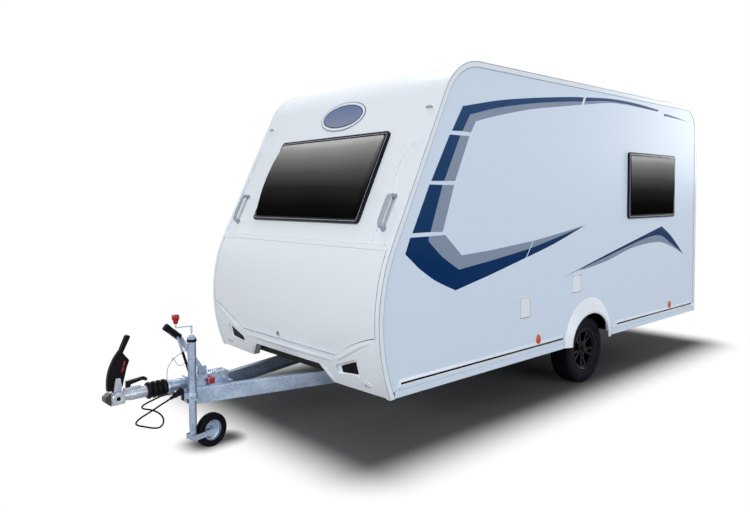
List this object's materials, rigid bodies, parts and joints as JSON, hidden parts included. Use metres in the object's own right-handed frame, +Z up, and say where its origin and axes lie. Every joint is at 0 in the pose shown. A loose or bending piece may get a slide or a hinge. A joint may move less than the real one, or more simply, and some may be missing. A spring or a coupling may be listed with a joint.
{
  "type": "travel caravan",
  "caption": "Touring caravan with a single axle, sloping front, locker lid, entrance door and drawbar, parked level on its jockey wheel.",
  "frame": {"origin": "on the ground under the middle of the whole length and width", "axes": "+X forward to the coupling, +Y to the caravan's left, +Z up"},
  "size_m": [5.987, 2.168, 2.635],
  "materials": {
    "wall_white": "gelcoat skin on a foam sandwich",
    "moulding_white": "gloss",
    "trim_white": "satin",
    "floor_board": "sealed",
    "window_frame": "gloss",
    "window_tint": "gloss",
    "hatch_acrylic": "gloss",
    "black_plastic": "matte",
    "rubber_black": "matte",
    "cable_black": "satin",
    "cable_red": "satin",
    "tyre_rubber": "matte",
    "alloy_black": "gloss",
    "drum_iron": "rough",
    "galvanised": "galvanised",
    "cast_silver": "cast",
    "lamp_clear": "gloss",
    "lamp_orange": "gloss",
    "lamp_red": "gloss"
  },
  "bodies": {
    "caravan": {"floor_panel": "floor_board", "side_wall_left": "wall_white", "side_wall_right": "wall_white", "roof_panel": "wall_white", "front_wall": "moulding_white", "hinge_strip": "moulding_white", "front_bumper": "moulding_white", "locker_bulkhead": "floor_board", "rear_wall": "wall_white", "rear_bumper": "moulding_white", "edge_trims": "trim_white", "side_skirts": "trim_white", "wheel_arches": "moulding_white", "wheel_boxes": "black_plastic", "window_frames": "window_frame", "window_panes": "window_tint", "door_hinges": "black_plastic", "flap_frames": "moulding_white", "roof_vents": "hatch_acrylic", "grab_handles": "moulding_white", "front_marker_lamps": "lamp_clear", "side_marker_lamps": "lamp_orange", "rear_lamps": "lamp_red", "chassis_rails": "galvanised", "drawbar_rail_left": "galvanised", "drawbar_rail_right": "galvanised", "axle_tube": "galvanised", "swing_arms": "galvanised", "overrun_housing": "galvanised", "draw_tube": "galvanised", "bellows": "rubber_black", "coupling_head": "cast_silver", "stabiliser_handle": "black_plastic", "handbrake_lever": "galvanised", "jockey_clamp": "galvanised", "jockey_outer_tube": "galvanised", "jockey_crank": "galvanised", "steady_brackets": "galvanised", "connector_cable": "cable_black", "connector_plug": "black_plastic", "plug_holder": "black_plastic", "breakaway_cable": "cable_red"},
    "wheel_left": {"tyre_left": "tyre_rubber", "rim_left": "alloy_black", "brake_drum_left": "drum_iron"},
    "wheel_right": {"tyre_right": "tyre_rubber", "rim_right": "alloy_black", "brake_drum_right": "drum_iron"},
    "jockey_slide": {"jockey_inner_tube": "galvanised"},
    "jockey_fork": {"jockey_fork": "galvanised"},
    "jockey_wheel": {"jockey_tyre": "tyre_rubber", "jockey_rim": "galvanised"},
    "door": {"entrance_door": "wall_white"},
    "locker_lid": {"locker_lid": "moulding_white"},
    "front_flap": {"front_service_flap": "moulding_white"},
    "rear_flap": {"rear_service_flap": "moulding_white"},
    "steady_front_left": {"steady_leg_front_left": "galvanised"},
    "steady_front_right": {"steady_leg_front_right": "galvanised"},
    "steady_rear_left": {"steady_leg_rear_left": "galvanised"},
    "steady_rear_right": {"steady_leg_rear_right": "galvanised"}
  },
  "joints": [
    {"name": "wheel_spin_left", "type": "hinge", "parent": "caravan", "child": "wheel_left", "pos_m": [-0.7575, 0.922, 0.295], "axis": [0, 1, 0], "continuous": true},
    {"name": "wheel_spin_right", "type": "hinge", "parent": "caravan", "child": "wheel_right", "pos_m": [-0.7575, -0.922, 0.295], "axis": [0, 1, 0], "continuous": true},
    {"name": "jockey_lift", "type": "slide", "parent": "caravan", "child": "jockey_slide", "axis": [0, 0, 1], "range_m": [-0.1, 0.06]},
    {"name": "jockey_swivel", "type": "hinge", "parent": "jockey_slide", "child": "jockey_fork", "pos_m": [2.4785, 0.114, 0.168], "axis": [0, 0, 1], "continuous": true},
    {"name": "jockey_wheel_spin", "type": "hinge", "parent": "jockey_fork", "child": "jockey_wheel", "pos_m": [2.34022, 0.0921, 0.11], "axis": [-0.1564, 0.9877, 0], "continuous": true},
    {"name": "door_hinge", "type": "hinge", "parent": "caravan", "child": "door", "pos_m": [0.4355, -1.064, 1.335], "axis": [0, 0, 1], "range_deg": [0, 165]},
    {"name": "locker_lid_hinge", "type": "hinge", "parent": "caravan", "child": "locker_lid", "pos_m": [1.61579, 0, 1.3048], "axis": [0, -1, 0], "range_deg": [0, 75]},
    {"name": "front_flap_hinge", "type": "hinge", "parent": "caravan", "child": "front_flap", "pos_m": [0.1985, 1.047, 0.848], "axis": [1, 0, 0], "range_deg": [0, 95]},
    {"name": "rear_flap_hinge", "type": "hinge", "parent": "caravan", "child": "rear_flap", "pos_m": [-0.5355, 1.047, 0.958], "axis": [1, 0, 0], "range_deg": [0, 95]},
    {"name": "steady_hinge_front_left", "type": "hinge", "parent": "caravan", "child": "steady_front_left", "pos_m": [0.9425, 0.76, 0.383], "axis": [0, 1, 0], "range_deg": [0, 55]},
    {"name": "steady_hinge_front_right", "type": "hinge", "parent": "caravan", "child": "steady_front_right", "pos_m": [0.9425, -0.76, 0.383], "axis": [0, 1, 0], "range_deg": [0, 55]},
    {"name": "steady_hinge_rear_left", "type": "hinge", "parent": "caravan", "child": "steady_rear_left", "pos_m": [-2.3975, 0.76, 0.383], "axis": [0, -1, 0], "range_deg": [0, 55]},
    {"name": "steady_hinge_rear_right", "type": "hinge", "parent": "caravan", "child": "steady_rear_right", "pos_m": [-2.3975, -0.76, 0.383], "axis": [0, -1, 0], "range_deg": [0, 55]}
  ]
}
